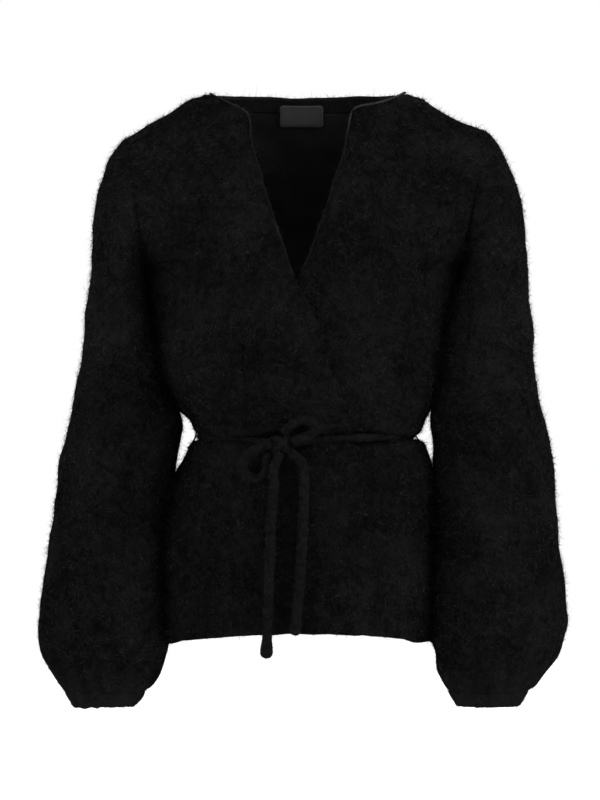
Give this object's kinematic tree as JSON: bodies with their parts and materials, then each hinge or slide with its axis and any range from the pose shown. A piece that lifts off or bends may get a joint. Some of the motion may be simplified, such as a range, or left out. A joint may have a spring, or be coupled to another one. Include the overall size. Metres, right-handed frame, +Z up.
{
  "type": "chunky knit wrap cardigan with a cord belt",
  "caption": "Fuzzy black knit wrap cardigan, filled out as worn, with balloon sleeves, tight cuffs, a stand neckband, and a round cord belt tied in a bow.",
  "frame": {"origin": "middle of the neck, level with the points where the neckband meets the shoulders, where the wearer's shoulders hold the cardigan up", "axes": "+Z up, -Y towards the front, +X towards the wearer's left"},
  "size_m": [0.5646, 0.2434, 0.6643],
  "materials": {
    "knit": "brushed black knit with a long fuzzy pile",
    "cord": "round knitted black cord",
    "label": "plain woven dark grey patch"
  },
  "bodies": {
    "root": {"back": "knit", "front_right": "knit", "front_left": "knit", "sleeve_right": "knit", "sleeve_left": "knit", "cuff_right": "knit", "cuff_left": "knit", "neckband": "knit", "belt": "cord", "belt_knot": "cord", "bow_loop_upper": "cord", "bow_loop_lower": "cord", "belt_tail_long": "cord", "belt_tail_short": "cord", "belt_loop_right": "cord", "belt_loop_left": "cord", "label": "label"}
  },
  "joints": []
}
